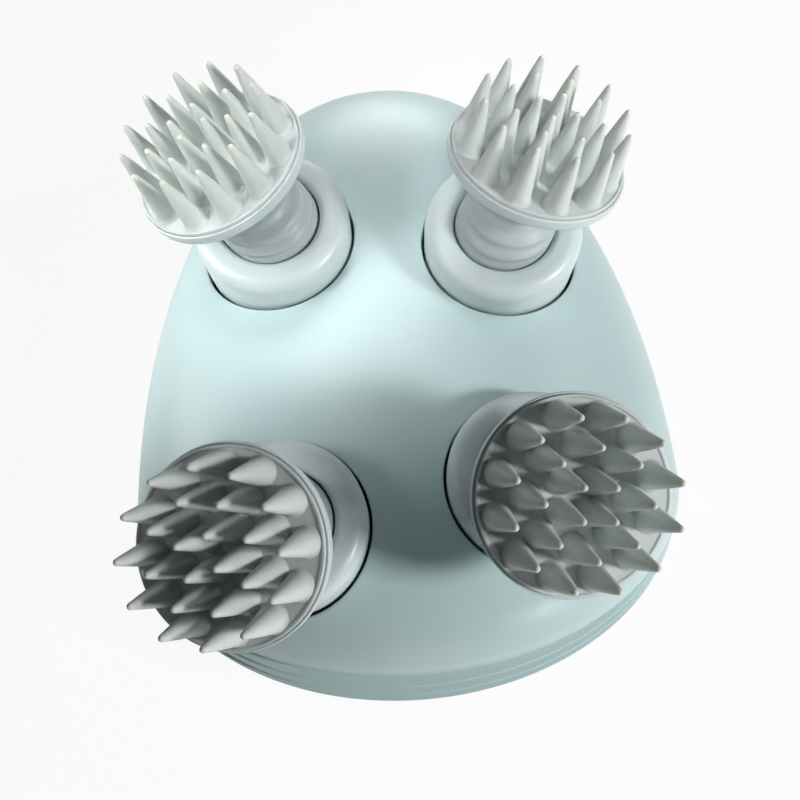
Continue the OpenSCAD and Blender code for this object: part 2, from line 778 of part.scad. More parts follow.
place_head(2) brush();  // brush_rear_left
color(body_color) place_head(3) collar();  // collar_rear_right
place_head(3) spindle();  // spindle_rear_right
head_gear(3);  // gear_rear_right
place_head(3) neck();  // neck_rear_right
place_head(3) brush_plate();  // plate_rear_right
place_head(3) brush();  // brush_rear_right
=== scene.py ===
"""Cordless scalp massager: an egg-shaped palm housing with four leaning silicone brush heads."""

import math

import bmesh
import bpy
import numpy as np
from mathutils import Matrix, Vector


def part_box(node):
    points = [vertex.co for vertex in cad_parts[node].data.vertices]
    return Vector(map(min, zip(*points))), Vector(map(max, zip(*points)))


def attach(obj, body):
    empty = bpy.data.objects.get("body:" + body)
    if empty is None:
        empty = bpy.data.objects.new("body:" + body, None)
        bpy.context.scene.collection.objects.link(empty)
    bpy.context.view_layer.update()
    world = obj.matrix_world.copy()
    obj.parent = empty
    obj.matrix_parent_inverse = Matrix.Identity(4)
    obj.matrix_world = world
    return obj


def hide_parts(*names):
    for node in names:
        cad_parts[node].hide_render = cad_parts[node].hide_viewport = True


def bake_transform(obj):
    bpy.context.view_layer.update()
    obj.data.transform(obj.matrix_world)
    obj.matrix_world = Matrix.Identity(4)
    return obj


bl_info = {
    "name": "Scalp Massager",
    "version": (1, 0, 0),
    "blender": (4, 5, 0),
    "location": "3D View > Sidebar > Massager",
    "description": "Builds a palm-held scalp massager with four leaning brush heads",
    "category": "Add Mesh",
}

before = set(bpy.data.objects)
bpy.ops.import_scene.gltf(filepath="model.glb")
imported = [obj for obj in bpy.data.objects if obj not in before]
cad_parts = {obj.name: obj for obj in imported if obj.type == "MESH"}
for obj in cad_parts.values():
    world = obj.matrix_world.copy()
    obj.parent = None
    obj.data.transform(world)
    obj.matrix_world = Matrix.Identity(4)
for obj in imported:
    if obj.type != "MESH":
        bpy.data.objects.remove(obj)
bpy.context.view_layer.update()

MM = 0.001
HEADS = ("front_left", "front_right", "rear_left", "rear_right")


def node_box(node):
    """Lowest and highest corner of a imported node, in millimetres."""
    low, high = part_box(node)
    return np.array(low) / MM, np.array(high) / MM


def node_middle(node):
    """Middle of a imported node's box."""
    return sum(node_box(node)) / 2


def node_radius(node):
    """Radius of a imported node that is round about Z: half of its box's width."""
    low, high = node_box(node)
    return (high[0] - low[0]) / 2


PALM_LOW, PALM_HIGH = node_box("back_shell")
DOME_LOW, DOME_HIGH = node_box("front_shell")
AXES = {head: node_middle("spindle_" + head) for head in HEADS}
PLATES = {head: node_middle("plate_" + head) for head in HEADS}
HEADS_MID_Y = sum(AXES[head][1] for head in HEADS) / len(HEADS)
BUTTON_AT = node_middle("button_cap")
CHARGE_AT = node_middle("charge_contacts")

CUP_DROP = 9.5  # from the pivot of the lean down to the lower edge of a cup
PIVOT_Z = node_box("collar_" + HEADS[0])[0][2] + CUP_DROP
PLATE_THICK = 1.6
STALK_LINE = PLATES[HEADS[0]] - np.array([*AXES[HEADS[0]][:2], PIVOT_Z])


# ---- Settings ----


class HousingSettings(bpy.types.PropertyGroup):
    """Sizes of the two shells and of the stepped trim between them."""

    half_width: bpy.props.FloatProperty(
        name="Half width", description="Half of the housing's width",
        default=PALM_HIGH[0] * MM, unit="LENGTH",
    )
    front_length: bpy.props.FloatProperty(
        name="Front length", description="Length of the broad front half of the outline",
        default=39 * MM, unit="LENGTH",
    )
    trim_reach: bpy.props.FloatProperty(
        name="Trim reach", description="How far the trim reaches forward of the dome",
        default=4.6 * MM, unit="LENGTH",
    )
    trim_side: bpy.props.FloatProperty(
        name="Trim side step", description="How far each step stands out at the sides",
        default=0.35 * MM, unit="LENGTH",
    )
    wall: bpy.props.FloatProperty(
        name="Wall", description="Wall thickness of both shells",
        default=2.4 * MM, unit="LENGTH",
    )
    opening: bpy.props.FloatProperty(
        name="Opening radius", description="Radius of an opening in the dome",
        default=15.5 * MM, unit="LENGTH",
    )
    edge_round: bpy.props.FloatProperty(
        name="Edge rounding", description="Rounding of the edge of each opening",
        default=0.35 * MM, unit="LENGTH",
    )


class HeadSettings(bpy.types.PropertyGroup):
    """Sizes of a cup with its neck, brush plate and silicone pad."""

    lean: bpy.props.FloatProperty(
        name="Lean", description="Lean of a brush from its rotor's axis",
        default=math.acos(STALK_LINE[2] / np.linalg.norm(STALK_LINE)), subtype="ANGLE",
    )
    stalk: bpy.props.FloatProperty(
        name="Stalk", description="From the lean's pivot to the back of the plate",
        default=(np.linalg.norm(STALK_LINE) - PLATE_THICK / 2) * MM, unit="LENGTH",
    )
    cup_radius: bpy.props.FloatProperty(
        name="Cup radius", description="Outer radius of the turning cup",
        default=14.95 * MM, unit="LENGTH",
    )
    bowl_radius: bpy.props.FloatProperty(
        name="Bowl radius", description="Radius of the cup's bowl at its edge",
        default=9.5 * MM, unit="LENGTH",
    )
    pad_radius: bpy.props.FloatProperty(
        name="Pad radius", description="Radius of the silicone pad",
        default=15.9 * MM, unit="LENGTH",
    )
    finger_length: bpy.props.FloatProperty(
        name="Finger length", description="Length of a silicone finger",
        default=10.2 * MM, unit="LENGTH",
    )
    finger_radius: bpy.props.FloatProperty(
        name="Finger radius", description="Radius of a silicone finger near its foot",
        default=2.2 * MM, unit="LENGTH",
    )


class FinishSettings(bpy.types.PropertyGroup):
    """Colours of the finishes that show."""

    housing_tone: bpy.props.FloatVectorProperty(
        name="Housing", description="Satin plastic of the housing",
        default=(0.53, 0.68, 0.68), size=3, subtype="COLOR",
    )
    cup_tone: bpy.props.FloatVectorProperty(
        name="Cups", description="Satin plastic of cups and plates",
        default=(0.62, 0.70, 0.71), size=3, subtype="COLOR",
    )
    silicone_tone: bpy.props.FloatVectorProperty(
        name="Silicone", description="Pads and fingers",
        default=(0.63, 0.68, 0.665), size=3, subtype="COLOR",
    )
    tip_tone: bpy.props.FloatVectorProperty(
        name="Finger tips", description="Thin tips of the fingers",
        default=(0.68, 0.71, 0.62), size=3, subtype="COLOR",
    )
    neck_tone: bpy.props.FloatVectorProperty(
        name="Necks", description="Soft necks in the bowls",
        default=(0.46, 0.52, 0.53), size=3, subtype="COLOR",
    )


class StageSettings(bpy.types.PropertyGroup):
    """Place and lens of the camera."""

    azimuth: bpy.props.FloatProperty(
        name="Azimuth", description="Turn of the view from +Y towards +X",
        default=math.radians(0.06), subtype="ANGLE",
    )
    elevation: bpy.props.FloatProperty(
        name="Elevation", description="Height of the camera above the horizon",
        default=math.radians(73.09), subtype="ANGLE",
    )
    roll: bpy.props.FloatProperty(
        name="Roll", description="Turn of the camera about its view",
        default=math.radians(4.39), subtype="ANGLE",
    )
    distance: bpy.props.FloatProperty(
        name="Distance", description="From the camera to the point it looks at",
        default=145.5 * MM, unit="LENGTH",
    )
    aim_forward: bpy.props.FloatProperty(
        name="Aim", description="How far in front of the heads' middle the camera looks",
        default=7.41 * MM, unit="LENGTH",
    )
    lens: bpy.props.FloatProperty(
        name="Lens", description="Focal length in millimetres, for a 36 mm sensor",
        default=35.9,
    )


# ---- Surfaces: every grid is rows x columns x 3, in millimetres ----

MERGE_DISTANCE = 2e-6  # metres, as bmesh takes them
NO_LENGTH = 1e-7


def grid_faces(rows, columns, wrap_rows=False, wrap_columns=False):
    """Quads between neighbouring rows and columns; where a grid wraps, its last meets its first."""
    r = np.arange(rows if wrap_rows else rows - 1)[:, None]
    c = np.arange(columns if wrap_columns else columns - 1)[None, :]
    start, next_start = r * columns, (r + 1) % rows * columns
    c_next = (c + 1) % columns
    corners = (start + c, start + c_next, next_start + c_next, next_start + c)
    return np.stack(np.broadcast_arrays(*corners), axis=-1).reshape(-1, 4)


def skin(grid, wrap_rows=False, wrap_columns=False):
    """A grid of points as (points, faces)."""
    rows, columns = grid.shape[:2]
    return grid.reshape(-1, 3), grid_faces(rows, columns, wrap_rows, wrap_columns)


def lifted(flat, height):
    """Points (x, y, z) from points (x, y) and a height for each."""
    return np.concatenate([flat, height[..., None]], axis=-1)


def turned(profile, segments=96):
    """Profile of (radius, height) points turned about Z: (r cos a, r sin a, h) for a all round."""
    angle = np.linspace(0, 2 * np.pi, segments, endpoint=False)
    radius, height = np.asarray(profile, float).T
    x, y = radius[:, None] * np.cos(angle), radius[:, None] * np.sin(angle)
    return np.stack([x, y, np.broadcast_to(height[:, None], x.shape)], axis=-1)


def soften(corners, steps=7):
    """Profile through (across, up, rounding) corners.

    A corner is replaced by the arc that touches both its edges, with its rounding as the radius,
    or less where an edge is too short for that.
    """
    points = []
    for i, (x, y, rounding) in enumerate(corners):
        here = np.array((x, y), float)
        if rounding == 0 or i in (0, len(corners) - 1):
            points.append(here)
            continue
        back = np.array(corners[i - 1][:2]) - here
        ahead = np.array(corners[i + 1][:2]) - here
        back_len, ahead_len = np.linalg.norm(back), np.linalg.norm(ahead)
        back, ahead = back / back_len, ahead / ahead_len
        half = math.acos(np.clip(back @ ahead, -1, 1)) / 2
        reach = min(rounding / math.tan(half), 0.5 * back_len, 0.5 * ahead_len)
        radius = reach * math.tan(half)
        middle = back + ahead
        centre = here + middle / np.linalg.norm(middle) * radius / math.sin(half)
        first, last = here + back * reach - centre, here + ahead * reach - centre
        start = math.atan2(first[1], first[0])
        sweep = math.atan2(last[1], last[0]) - start
        sweep = (sweep + math.pi) % (2 * math.pi) - math.pi
        angle = start + sweep * np.linspace(0, 1, steps)
        points.extend(centre + radius * np.stack([np.cos(angle), np.sin(angle)], axis=1))
    return np.array(points)


def carried(points, head, lean=0.0):
    """Points about the pivot, leaned, turned to the head's phase and stood on its axis.

    The lean is one angle, or one for each point: (x cos l + z sin l, y, z cos l - x sin l).
    """
    along = PLATES[head] - AXES[head]
    phase = math.atan2(along[1], along[0])
    x, y, z = points.T
    out, up = x * np.cos(lean) + z * np.sin(lean), z * np.cos(lean) - x * np.sin(lean)
    across = out * math.cos(phase) - y * math.sin(phase)
    ahead = out * math.sin(phase) + y * math.cos(phase)
    return np.stack([across, ahead, up], axis=1) + np.array([*AXES[head][:2], PIVOT_Z])


def merged_mesh(name, surfaces, rise=None):
    """Mesh of (points, faces) surfaces: doubles merged, faces turned outwards, rise kept."""
    starts = np.cumsum([0] + [len(points) for points, _ in surfaces])
    points = np.vstack([points for points, _ in surfaces]) * MM
    faces = np.vstack([faces + start for (_, faces), start in zip(surfaces, starts)])
    mesh = bpy.data.meshes.new(name)
    mesh.from_pydata(points.tolist(), [], faces.tolist())
    if rise is not None:
        heights = mesh.attributes.new("rise", "FLOAT", "POINT")
        heights.data.foreach_set("value", rise.astype(np.float32))
    work = bmesh.new()
    work.from_mesh(mesh)
    bmesh.ops.remove_doubles(work, verts=work.verts, dist=MERGE_DISTANCE)
    bmesh.ops.dissolve_degenerate(work, edges=work.edges, dist=NO_LENGTH)
    bmesh.ops.recalc_face_normals(work, faces=work.faces)
    work.to_mesh(mesh)
    work.free()
    return mesh


def new_object(name, mesh):
    """Object in the scene that holds a mesh."""
    obj = bpy.data.objects.new(name, mesh)
    bpy.context.scene.collection.objects.link(obj)
    return obj


def shade_piece(obj, material, crease=35.0):
    """The piece's material, and smooth shading up to the crease angle in degrees."""
    obj.data.materials.clear()
    obj.data.materials.append(material)
    obj.data.shade_smooth()
    obj.data.set_sharp_from_angle(angle=math.radians(crease))


def make_piece(name, surfaces, material, body, node, rise=None):
    """Piece of (points, faces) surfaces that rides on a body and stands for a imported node."""
    obj = new_object(name, merged_mesh(name, surfaces, rise))
    shade_piece(obj, material)
    if body:
        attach(obj, body)
    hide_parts(node)
    return obj


def make_head_pieces(name, surfaces, material, node, lean=0.0, rise=None):
    """One piece for each head: its surfaces leaned and carried to the head."""
    for head in HEADS:
        placed = [(carried(points, head, lean), faces) for points, faces in surfaces]
        make_piece(name + head, placed, material, "head_" + head, node + head, rise)


def cut_round(obj, x, y, radius, depth):
    """Cuts a round hole at (x, y) out of a piece, from below it up to a depth over its foot."""
    start = -2
    wall = turned([(0, start), (radius, start), (radius, depth), (0, depth)], 72)
    surface = skin(wall + np.array([x, y, 0]), wrap_columns=True)
    cutter = new_object("hole_cutter", merged_mesh("hole_cutter", [surface]))
    cut = obj.modifiers.new("holes", "BOOLEAN")
    cut.operation, cut.solver, cut.object = "DIFFERENCE", "EXACT", cutter
    bpy.context.view_layer.update()
    cut_obj = obj.evaluated_get(bpy.context.evaluated_depsgraph_get())
    result = bpy.data.meshes.new_from_object(cut_obj)
    obj.modifiers.clear()
    obj.data = result
    bpy.data.objects.remove(cutter)


# ---- Egg-shaped housing ----

FRONT_POWER = 2.0  # powers of the two half ovals of the outline
REAR_POWER = 2.05
DOME_POWER = 2.7
LIP_HEIGHT = 1.0  # upright rim of the dome, under its curve
LAND_SHARE = 0.52  # share of the outline that the flat land on the palm side takes up
PALM_POWER = 0.9
TRIM_STEPS = 3
STEP_EVENNESS = 3.5  # the larger, the more alike the widths of the trim's steps
SKIRT_LOW = 33  # lower edge of the skirt under each opening
SKIRT_WALL = 1.6

SEAM_COUNT = 40  # points along a middle line, points along the rim, rows in a quarter
RIM_COUNT = 110
PATCH_ROWS = 44
RING_SEGMENTS = 288


class Egg:
    """The housing's outline and dome, from the settings, in millimetres."""

    def __init__(self, settings):
        self.half = settings.half_width / MM
        self.front = settings.front_length / MM
        self.wide_y = PALM_LOW[1] + self.front
        self.rear = PALM_HIGH[1] - self.wide_y
        self.side_step = settings.trim_side / MM
        self.step_unit = settings.trim_reach / MM / (TRIM_STEPS * (TRIM_STEPS + STEP_EVENNESS))
        self.wall = settings.wall / MM
        self.opening = settings.opening / MM
        self.edge_round = settings.edge_round / MM
        self.palm_height = PALM_HIGH[2]
        self.trim_top = DOME_LOW[2]
        self.base = self.trim_top + LIP_HEIGHT
        self.rise = DOME_HIGH[2] - self.base

    def step_side(self, level):
        """Inset of a trim level at the sides."""
        return level * self.side_step

    def step_front(self, level):
        """Inset of a trim level at the front: unit l (l + evenness), so steps widen upwards."""
        return self.step_unit * level * (level + STEP_EVENNESS)

    def level_at(self, front):
        """Level of a front inset: step_front solved for l."""
        root = np.sqrt(STEP_EVENNESS**2 + 4 * front / self.step_unit)
        return (root - STEP_EVENNESS) / 2

    def outline(self, angle, side=0.0, front=0.0, share=1.0):
        """Two half ovals on their widest line, pulled in by side and front, scaled by share.

        x = w cos^p a and y = l sin^p a, with a power and a length of its own for each half.
        """
        rear = np.sin(angle) > 0
        power = np.where(rear, 2 / REAR_POWER, 2 / FRONT_POWER)
        length = np.where(rear, self.rear - side, self.front - front)
        cos, sin = np.cos(angle), np.sin(angle)
        x = share * (self.half - side) * np.sign(cos) * np.abs(cos) ** power
        y = self.wide_y + share * length * np.sign(sin) * np.abs(sin) ** power
        return x, y

    def dome_insets(self, depth):
        """Side and front inset of the dome's surface at a depth under its outside."""
        return depth + self.step_side(TRIM_STEPS), depth + self.step_front(TRIM_STEPS)

    def dome(self, x, y, depth=0.0):
        """Height of the dome over (x, y): base + h sqrt(1 - s^p), s the share of the outline."""
        side, front = self.dome_insets(depth)
        half = self.half - side
        along = y - self.wide_y
        power = np.where(along > 0, REAR_POWER, FRONT_POWER)
        length = np.where(along > 0, self.rear - side, self.front - front)
        share = (np.abs(x / half) ** power + np.abs(along / length) ** power) ** (1 / power)
        fall = np.sqrt(np.clip(1 - share**DOME_POWER, 0, 1))
        return self.base + (self.rise - depth) * fall


def quarter_edge(egg, rear, depth):
    """Edge of a quarter of the dome: the middle line, the outline, the line between the pairs.

    Points on the two straight lines are spaced by sines, closest together at the rim.
    """
    side, front = egg.dome_insets(depth)
    power = 2 / REAR_POWER
    meet = math.asin(((HEADS_MID_Y - egg.wide_y) / (egg.rear - side)) ** (1 / power))
    angle = np.linspace(np.pi / 2 if rear else -np.pi / 2, meet, RIM_COUNT)
    rim_x, rim_y = egg.outline(angle, side, front)
    rim_x[0] = 0
    rim_y[-1] = HEADS_MID_Y
    t = np.sin(np.linspace(0, np.pi / 2, SEAM_COUNT))[:-1]
    middle = np.stack([0 * t, HEADS_MID_Y + (rim_y[0] - HEADS_MID_Y) * t], axis=1)
    between = np.stack([rim_x[-1] * t, HEADS_MID_Y + 0 * t], axis=1)[:0:-1]
    return np.vstack([middle, np.stack([rim_x, rim_y], axis=1), between])


def quarter_patch(egg, centre, edge, radius, depth):
    """Rows from a circle round the opening out to the edge, spaced by a sine, finest at the rim."""
    away = edge - centre
    length = np.linalg.norm(away, axis=1)
    out = away / length[:, None]
    share = np.sin(np.linspace(0, np.pi / 2, PATCH_ROWS))[:, None]
    reach = radius + (length - radius) * share
    flat = centre + out * reach[..., None]
    flat[-1] = edge
    return lifted(flat, egg.dome(flat[..., 0], flat[..., 1], depth))


def quarter_surfaces(egg, head):
    """Outside, inside, opening skirt and upright rim of the quarter of the dome round a head."""
    mirror = np.array([math.copysign(1, AXES[head][0]), 1, 1])
    centre = np.array([abs(AXES[head][0]), AXES[head][1]])
    rear = AXES[head][1] > HEADS_MID_Y
    lip_radius = egg.opening + egg.edge_round
    outer_edge, inner_edge = (quarter_edge(egg, rear, depth) for depth in (0, egg.wall))
    outer = quarter_patch(egg, centre, outer_edge, lip_radius, 0)
    inner = quarter_patch(egg, centre, inner_edge, egg.opening + SKIRT_WALL, egg.wall)

    turn = np.linspace(0, np.pi / 2, 6)[1:, None]
    drop = np.linspace(0, 1, 5)[1:, None]
    out = (outer[0, :, :2] - centre) / lip_radius
    round_off = egg.opening + egg.edge_round * (1 - np.sin(turn))
    lip = lifted(
        centre + out * round_off[..., None],
        outer[0, :, 2] - egg.edge_round * (1 - np.cos(turn)),
    )
    lip_low = lip[-1, :, 2]
    wall_flat = np.broadcast_to(centre + out * egg.opening, (len(drop), len(out), 2))
    wall = lifted(wall_flat, lip_low + (SKIRT_LOW - lip_low) * drop)
    foot = inner[:1].copy()
    foot[..., 2] = SKIRT_LOW
    skirt = np.concatenate([outer[:1], lip, wall, foot, inner[:1]])

    rim = slice(SEAM_COUNT - 1, SEAM_COUNT - 1 + RIM_COUNT)
    low_outer, low_inner = outer[-1, rim].copy(), inner[-1, rim].copy()
    low_outer[:, 2] = low_inner[:, 2] = egg.trim_top
    strip = np.stack([outer[-1, rim], low_outer, low_inner, inner[-1, rim]])
    closed = [skin(grid * mirror, wrap_columns=True) for grid in (outer, inner, skirt)]
    return closed + [skin(strip * mirror)]


def rows_of(side, front, height, share):
    """Rows of (side inset, front inset, height, share) from arrays or single values of each."""
    return np.stack(np.broadcast_arrays(side, front, height, share), axis=-1)


def ring_rows(egg, rows):
    """Closed rings round the egg, one for each of its rows."""
    angle = np.linspace(0, 2 * np.pi, RING_SEGMENTS, endpoint=False)
    side, front, height, share = rows.T[..., None]
    angle = np.broadcast_to(angle, (len(rows), RING_SEGMENTS))
    x, y = egg.outline(angle, side, front, share)
    return np.stack([x, y, np.broadcast_to(height, x.shape)], axis=-1)


def trim_rows(egg):
    """Rows of the stepped trim: treads and risers, noses rounded."""
    low, mid, top = np.linspace(egg.palm_height, egg.trim_top, TRIM_STEPS)
    first, second, last = (egg.step_front(level) for level in (1, 2, 3))
    inner = last + egg.wall
    nose, root = 0.32, 0.12
    front, height = soften([
        (inner, low, 0), (first, low, nose / 2), (first, mid, nose), (second, mid, root),
        (second, top, nose), (inner, top, 0),
    ], 6).T
    return rows_of(egg.step_side(egg.level_at(front)), front, height, 1)


def palm_rows(egg):
    """Rows of the palm shell: outside from the middle of the land to the rim, then back inside.

    Its wall rises as h (1 - cos a) while the outline grows by the land's share and sin^p a.
    """
    wall, top = egg.wall, egg.palm_height
    rim_height, rounding = 0.5, 0.3
    angle = np.linspace(0, np.pi / 2, 34)
    share = LAND_SHARE + (1 - LAND_SHARE) * np.sin(angle) ** PALM_POWER
    height = top * (1 - np.cos(angle))
    inner_height = wall + (top - wall) * (1 - np.cos(angle))
    below = height < top - rim_height
    nose = soften([(0, top - rim_height, 0), (0, top, rounding), (wall, top, 0)], 6)
    return np.vstack([
        rows_of(0, 0, 0, np.linspace(0, LAND_SHARE, 9)[:-1]),
        rows_of(0, 0, height[below], share[below]),
        rows_of(nose[:, 0], nose[:, 0], nose[:, 1], 1),
        rows_of(wall, wall, inner_height[-2::-1], share[-2::-1]),
        rows_of(wall, wall, wall, np.linspace(LAND_SHARE, 0, 5)[1:]),
    ])


# ---- Finishes ----


def empty_material(name):
    """Node material with nothing but its output: (material, nodes, links, surface socket)."""
    material = bpy.data.materials.new(name)
    material.use_nodes = True
    nodes, links = material.node_tree.nodes, material.node_tree.links
    nodes.clear()
    return material, nodes, links, nodes.new("ShaderNodeOutputMaterial").inputs["Surface"]


def new_material(name):
    """Node material with a Principled shader: (material, nodes, links, shader)."""
    material, nodes, links, surface = empty_material(name)
    shader = nodes.new("ShaderNodeBsdfPrincipled")
    links.new(shader.outputs["BSDF"], surface)
    return material, nodes, links, shader


def set_values(node, values):
    """Constant values on a node's sockets, from {socket: value}."""
    for socket, value in values.items():
        node.inputs[socket].default_value = value


def noise(nodes, links, scale, detail=3.0, stretch=(1, 1, 1), roughness=0.55):
    """Noise on Object coordinates; scale is in features per metre."""
    place = nodes.new("ShaderNodeTexCoord")
    mapping = nodes.new("ShaderNodeMapping")
    set_values(mapping, {"Scale": stretch})
    texture = nodes.new("ShaderNodeTexNoise")
    set_values(texture, {"Scale": scale, "Detail": detail, "Roughness": roughness})
    links.new(place.outputs["Object"], mapping.inputs["Vector"])
    links.new(mapping.outputs["Vector"], texture.inputs["Vector"])
    return texture.outputs["Fac"]


def ramp(nodes, links, source, stops):
    """Colour ramp on a value, from (position, colour) stops."""
    node = nodes.new("ShaderNodeValToRGB")
    elements = node.color_ramp.elements
    while len(elements) < len(stops):
        elements.new(0.5)
    for element, (position, colour) in zip(elements, stops):
        element.position = position
        element.color = (*colour, 1)
    links.new(source, node.inputs["Fac"])
    return node.outputs["Color"]


def shade(tone, factor):
    """A tone made lighter or darker."""
    return tuple(min(1.0, c * factor) for c in tone)


def cloud(nodes, links, shader, source, tone, dark, bright):
    """Base colour that follows a noise between two shades of a tone."""
    stops = [(0.3, shade(tone, dark)), (0.7, shade(tone, bright))]
    links.new(ramp(nodes, links, source, stops), shader.inputs["Base Color"])


def uneven_gloss(nodes, links, shader, source, low, high):
    """Roughness that follows a noise between two values."""
    node = nodes.new("ShaderNodeMapRange")
    set_values(node, {"From Min": 0.3, "From Max": 0.7, "To Min": low, "To Max": high})
    links.new(source, node.inputs["Value"])
    links.new(node.outputs["Result"], shader.inputs["Roughness"])


def bump(nodes, links, shader, source, strength, distance):
    """Bump of a value on the shader's normal; distance in millimetres."""
    node = nodes.new("ShaderNodeBump")
    set_values(node, {"Strength": strength, "Distance": distance * MM})
    links.new(source, node.inputs["Height"])
    links.new(node.outputs["Normal"], shader.inputs["Normal"])


def satin_plastic(name, tone):
    """Moulded satin plastic: faint clouding of the tone, uneven gloss and a fine grain."""
    material, nodes, links, shader = new_material(name)
    cloud(nodes, links, shader, noise(nodes, links, scale=34), tone, 0.965, 1.03)
    uneven_gloss(nodes, links, shader, noise(nodes, links, scale=140, detail=4), 0.33, 0.41)
    grain = noise(nodes, links, scale=5200, detail=2)
    bump(nodes, links, shader, grain, strength=0.05, distance=0.03)
    set_values(shader, {"IOR": 1.48})
    return material


def soft_silicone(name, tone, tip, translucency=0.22, roughness=(0.42, 0.52)):
    """Semi-matt silicone that light comes through; its rise lifts the tone to that of the tips."""
    material, nodes, links, shader = new_material(name)
    rise = nodes.new("ShaderNodeAttribute")
    rise.attribute_name = "rise"
    stops = [(0.0, tone), (0.78, shade(tone, 1.02)), (0.94, tip), (1.0, shade(tip, 1.06))]
    dust = noise(nodes, links, scale=900, detail=5, roughness=0.7)
    dust_stops = [(0.25, (0.93, 0.93, 0.94)), (0.7, (1, 1, 1))]
    mix = nodes.new("ShaderNodeMix")
    mix.data_type, mix.blend_type = "RGBA", "MULTIPLY"
    set_values(mix, {"Factor": 1.0})
    links.new(ramp(nodes, links, rise.outputs["Fac"], stops), mix.inputs["A"])
    links.new(ramp(nodes, links, dust, dust_stops), mix.inputs["B"])
    links.new(mix.outputs["Result"], shader.inputs["Base Color"])
    uneven_gloss(nodes, links, shader, noise(nodes, links, scale=300), *roughness)
    bump(nodes, links, shader, dust, strength=0.08, distance=0.04)
    set_values(shader, {
        "Subsurface Weight": translucency, "Subsurface Radius": (1.0, 1.0, 0.9),
        "Subsurface Scale": 2.2 * MM, "IOR": 1.41,
    })
    return material


def metal(name, tone):
    """Drawn or turned metal: fine lines along one axis in tone and gloss."""
    material, nodes, links, shader = new_material(name)
    lines = noise(nodes, links, scale=900, detail=4, stretch=(1, 1, 12))
    cloud(nodes, links, shader, lines, tone, 0.86, 1.08)
    uneven_gloss(nodes, links, shader, lines, 0.22, 0.34)
    bump(nodes, links, shader, lines, strength=0.1, distance=0.02)
    set_values(shader, {"Metallic": 1.0})
    return material


def moulded(name, tone, roughness=(0.45, 0.6), scale=600):
    """Plain moulded part or rubber: clouded tone and a visible grain."""
    material, nodes, links, shader = new_material(name)
    grain = noise(nodes, links, scale, detail=4)
    cloud(nodes, links, shader, grain, tone, 0.9, 1.06)
    uneven_gloss(nodes, links, shader, grain, *roughness)
    bump(nodes, links, shader, grain, strength=0.15, distance=0.05)
    return material


def circuit_finish(name, tone):
    """Solder resist over copper tracks: brighter tracks on a fine brick grid, glossy."""
    material, nodes, links, shader = new_material(name)
    place = nodes.new("ShaderNodeTexCoord")
    tracks = nodes.new("ShaderNodeTexBrick")
    shares = {"Color1": 1.0, "Color2": 0.85, "Mortar": 1.8}
    set_values(tracks, {name: (*shade(tone, share), 1) for name, share in shares.items()})
    set_values(tracks, {"Scale": 260, "Mortar Size": 0.06})
    links.new(place.outputs["Object"], tracks.inputs["Vector"])
    links.new(tracks.outputs["Color"], shader.inputs["Base Color"])
    uneven_gloss(nodes, links, shader, noise(nodes, links, scale=400), 0.25, 0.4)
    return material


def floor_material():
    """White floor that keeps its shadows: diffuse, with a glow for the camera and reflections."""
    glow_share = 0.93
    material, nodes, links, surface = empty_material("pale floor")
    diffuse = nodes.new("ShaderNodeBsdfDiffuse")
    set_values(diffuse, {"Color": (0.92, 0.92, 0.92, 1)})
    glow = nodes.new("ShaderNodeEmission")
    set_values(glow, {"Strength": 1.0})
    path = nodes.new("ShaderNodeLightPath")
    seen = nodes.new("ShaderNodeMath")
    seen.operation = "ADD"
    links.new(path.outputs["Is Camera Ray"], seen.inputs[0])
    links.new(path.outputs["Is Glossy Ray"], seen.inputs[1])
    share = nodes.new("ShaderNodeMath")
    share.operation = "MULTIPLY"
    share.inputs[1].default_value = glow_share
    links.new(seen.outputs[0], share.inputs[0])
    mix = nodes.new("ShaderNodeMixShader")
    links.new(share.outputs[0], mix.inputs["Fac"])
    links.new(diffuse.outputs["BSDF"], mix.inputs[1])
    links.new(glow.outputs["Emission"], mix.inputs[2])
    links.new(mix.outputs["Shader"], surface)
    return material


INNER_FINISHES = (  # finish, tone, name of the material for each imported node
    (moulded, (0.04, 0.04, 0.045), {"seam_gasket": "seam rubber", "head_seals": "seal rubber"}),
    (moulded, (0.50, 0.60, 0.60), {"screw_plugs": "plug rubber"}),
    (moulded, (0.03, 0.03, 0.035), {
        "motor_end_cap": "end cap plastic", "tact_switch": "switch plastic",
    }),
    (moulded, (0.60, 0.62, 0.60), {"switch_plunger": "plunger plastic"}),
    (moulded, (0.70, 0.74, 0.75), {
        "drive_plate": "plate nylon", "drive_cover": "cover nylon",
        "battery_cradle": "cradle nylon",
    }),
    (moulded, (0.80, 0.79, 0.70), {
        "central_wheel": "wheel acetal", "reduction_gear": "reduction acetal",
        **{"gear_" + head: "gear acetal " + head for head in HEADS},
    }),
    (moulded, (0.08, 0.24, 0.34), {"battery_cell": "cell sleeve"}),
    (moulded, (0.42, 0.03, 0.03), {
        "motor_leads": "motor lead sleeve", "battery_leads": "battery lead sleeve",
        "charge_leads": "charge lead sleeve",
    }),
    (metal, (0.55, 0.55, 0.56), {
        "shell_screws": "screw steel", "drive_screws": "drive screw steel",
        "board_screws": "board screw steel",
    }),
    (metal, (0.60, 0.60, 0.61), {
        "central_axle": "axle steel", "reduction_axle": "second axle steel",
        "motor_shaft": "shaft steel",
        **{"spindle_" + head: "spindle steel " + head for head in HEADS},
    }),
    (metal, (0.62, 0.62, 0.63), {"motor_can": "can steel"}),
    (metal, (0.66, 0.48, 0.22), {"motor_pinion": "pinion brass"}),
    (metal, (0.55, 0.38, 0.20), {"head_bearings": "sintered bronze"}),
    (metal, (0.80, 0.58, 0.24), {"charge_contacts": "contact gold"}),
    (circuit_finish, (0.03, 0.19, 0.09), {"circuit_board": "solder resist"}),
)


# ---- Housing operators ----


